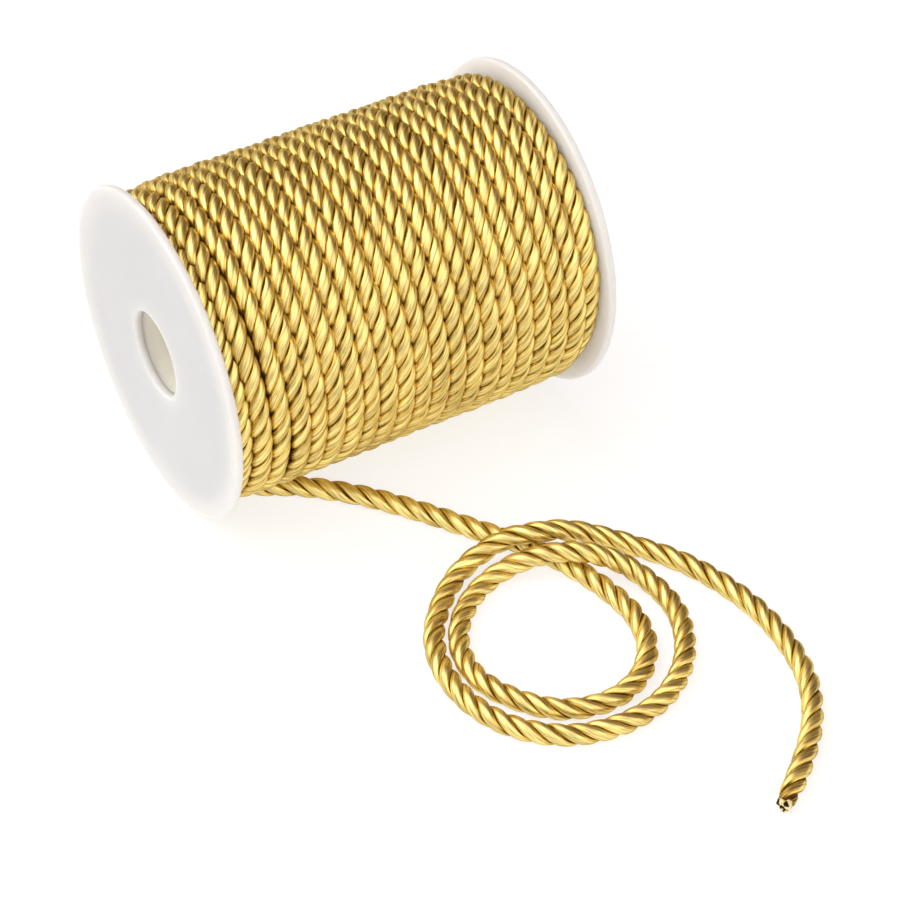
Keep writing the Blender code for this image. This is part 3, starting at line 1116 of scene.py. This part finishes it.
def turned_piece(name, outline, centre_x, sides, is_flange):
    """A piece turned about the spool's axis from a closed outline of (x, radius) points."""
    bm = bmesh.new()
    verts = [bm.verts.new((centre_x + x, radius, AXIS_HEIGHT)) for x, radius in outline]
    edges = [bm.edges.new(pair) for pair in zip(verts, verts[1:] + verts[:1])]
    bmesh.ops.spin(bm, geom=verts + edges, cent=(0.0, 0.0, AXIS_HEIGHT), axis=(1.0, 0.0, 0.0),
                   angle=2 * math.pi, steps=sides, use_merge=True)
    for vert in bm.verts:
        if is_flange and centre_x > 0:
            vert.co.x += far_lean(vert.co.z - AXIS_HEIGHT)
        vert.co.z -= axis_sink(vert.co.x)
        vert.co.x, vert.co.y = as_it_stands(vert.co.x, vert.co.y)
    if is_flange:
        geom = list(bm.verts) + list(bm.edges) + list(bm.faces)
        cut = bmesh.ops.bisect_plane(bm, geom=geom, plane_co=(0.0, 0.0, 0.0),
                                     plane_no=(0.0, 0.0, 1.0), clear_inner=True)
        rim = [item for item in cut["geom_cut"] if isinstance(item, bmesh.types.BMEdge)]
        bmesh.ops.contextual_create(bm, geom=rim)
    bmesh.ops.recalc_face_normals(bm, faces=bm.faces)
    mesh = bpy.data.meshes.new(name)
    bm.to_mesh(mesh)
    bm.free()
    mesh.shade_smooth()
    mesh.set_sharp_from_angle(angle=SHARP_ANGLE)
    return add_object(name, mesh)


class TRIM_OT_make_spool(Operator):
    """Make the two flanges and the core tube of the plastic spool"""

    bl_idname = "cord_trim.make_spool"
    bl_label = "Make Spool"

    def execute(self, context):
        spool = context.scene.trim_spool
        half, rim, lip = FLANGE_THICKNESS / 2, spool.rim_rounding, spool.lip_rounding
        for end, node in ((-1, "flange_near"), (1, "flange_far")):
            edge = FLANGE_RADIUS + (FAR_GROWTH if end > 0 else 0.0) - rim
            outline = corner_arc(half - rim, edge, 0.0, rim)
            outline += corner_arc(-half + rim, edge, math.pi / 2, rim)
            outline += corner_arc(-half + lip, spool.hole_radius + lip, math.pi, lip)
            outline += [(half, spool.hole_radius)]
            if end > 0:
                outline = [(-x, radius) for x, radius in outline]
            name = f"spool_{node}"
            item = turned_piece(name, outline, end * (HALF_LENGTH - half), spool.sides, True)
            finish_piece(item, plastic_material(context), "white_plastic", node)
        length = INNER_HALF_LENGTH
        hole = spool.hole_radius
        outline = [(length, hole), (length, CORE_RADIUS), (-length, CORE_RADIUS), (-length, hole)]
        item = turned_piece("spool_core", outline, 0.0, spool.sides, False)
        finish_piece(item, core_material(context), "white_plastic", "core_tube")
        return {"FINISHED"}


def floor_material(stage):
    """A pale matt surface."""
    material, tree, shader = shader_of("pale_surface")
    place = add_node(tree, "ShaderNodeTexCoord")
    clouds = noise_node(tree, place.outputs["Object"], FLOOR_CLOUD_SCALE)
    colour = (*stage.floor_colour, 1.0)
    darker = tuple(FLOOR_CLOUD_DARKNESS * c for c in stage.floor_colour) + (1.0,)
    set_inputs(tree, shader, (
        ("Base Color", blend_node(tree, clouds, colour, darker)),
        ("Roughness", FLOOR_ROUGHNESS),
        ("Specular IOR Level", FLOOR_SPECULAR),
        ("Emission Color", WHITE),
        ("Emission Strength", stage.floor_glow),
    ))
    return material


def area_light(name, place, target, size, power):
    """A square soft white light that faces a point."""
    light = bpy.data.lights.new(name, "AREA")
    light.shape = "SQUARE"
    light.size = size
    light.energy = power
    item = bpy.data.objects.new(name, light)
    item.location = place
    direction = Vector(target) - Vector(place)
    item.rotation_euler = direction.to_track_quat("-Z", "Y").to_euler()
    bpy.context.scene.collection.objects.link(item)
    return item


def toward(tree, direction, centre, edge):
    """How far a direction lies within a soft-edged disc, whose edge is given as two cosines."""
    facing = add_node(tree, "ShaderNodeVectorMath", ((0, direction), (1, centre)),
                      operation="DOT_PRODUCT").outputs["Value"]
    return ramp_node(tree, facing, (*edge, 0.0, 1.0))


class TRIM_OT_make_stage(Operator):
    """Make the pale surface and the soft studio light"""

    bl_idname = "cord_trim.make_stage"
    bl_label = "Make Stage"

    def execute(self, context):
        stage = context.scene.trim_stage
        bm = bmesh.new()
        bmesh.ops.create_circle(bm, cap_ends=True, segments=FLOOR_SIDES, radius=FLOOR_RADIUS)
        mesh = bpy.data.meshes.new("floor")
        bm.to_mesh(mesh)
        bm.free()
        floor = add_object("floor", mesh)
        mesh.materials.append(floor_material(stage))
        key_place = tuple(t + KEY_DISTANCE * d for t, d in zip(KEY_TARGET, KEY_DIRECTION))
        area_light("key_light", key_place, KEY_TARGET, KEY_SIZE, stage.key_power)
        world = bpy.data.worlds.new("studio")
        world.use_nodes = True
        tree = world.node_tree
        direction = add_node(tree, "ShaderNodeTexCoord").outputs["Generated"]
        height = add_node(tree, "ShaderNodeSeparateXYZ", ((0, direction),)).outputs[2]
        low = ramp_node(tree, height, (*HORIZON_RISE, HORIZON_SHARE, 1.0))
        even = math_node(tree, "MULTIPLY", low, stage.sky_strength)
        dark_side = toward(tree, direction, DARK_DIRECTION, DARK_EDGE)
        lacking = math_node(tree, "MULTIPLY", dark_side, stage.side_shade)
        strength = math_node(tree, "MULTIPLY", even, math_node(tree, "SUBTRACT", 1.0, lacking))
        for centre, edge, share in ((KEY_DIRECTION, KEY_EDGE, stage.lobe_strength),
                                    (FRONT_DIRECTION, FRONT_EDGE, stage.front_strength)):
            side = math_node(tree, "MULTIPLY", toward(tree, direction, centre, edge), share)
            strength = math_node(tree, "ADD", strength, side)
        tint = blend_node(tree, dark_side, WHITE, DARK_TINT)
        set_inputs(tree, tree.nodes["Background"], (("Strength", strength), ("Color", tint)))
        context.scene.world = world
        context.scene.view_settings.view_transform = "Standard"
        return {"FINISHED"}


class TRIM_PT_sidebar(Panel):
    """The cord trim's settings and steps"""

    bl_label = "Cord Trim"
    bl_idname = "TRIM_PT_sidebar"
    bl_space_type = "VIEW_3D"
    bl_region_type = "UI"
    bl_category = "Cord Trim"

    def draw(self, context):
        column = self.layout.column()
        for settings in (context.scene.trim_cord, context.scene.trim_spool, context.scene.trim_stage):
            for name in settings.__annotations__:
                column.prop(settings, name)
        for operator in OPERATORS:
            column.operator(operator.bl_idname)


OPERATORS = (
    TRIM_OT_place_camera,
    TRIM_OT_make_loose_end,
    TRIM_OT_make_winding,
    TRIM_OT_make_under_layer,
    TRIM_OT_make_spool,
    TRIM_OT_make_stage,
)
CLASSES = (CordSettings, SpoolSettings, StageSettings, *OPERATORS, TRIM_PT_sidebar)


def register():
    for item in CLASSES:
        bpy.utils.register_class(item)
    bpy.types.Scene.trim_cord = PointerProperty(type=CordSettings)
    bpy.types.Scene.trim_spool = PointerProperty(type=SpoolSettings)
    bpy.types.Scene.trim_stage = PointerProperty(type=StageSettings)


def unregister():
    del bpy.types.Scene.trim_stage
    del bpy.types.Scene.trim_spool
    del bpy.types.Scene.trim_cord
    for item in reversed(CLASSES):
        bpy.utils.unregister_class(item)


def main():
    register()
    bpy.ops.cord_trim.place_camera()
    bpy.ops.cord_trim.make_loose_end()
    bpy.ops.cord_trim.make_winding()
    bpy.ops.cord_trim.make_under_layer()
    bpy.ops.cord_trim.make_spool()
    bpy.ops.cord_trim.make_stage()


if __name__ == "__main__":
    main()
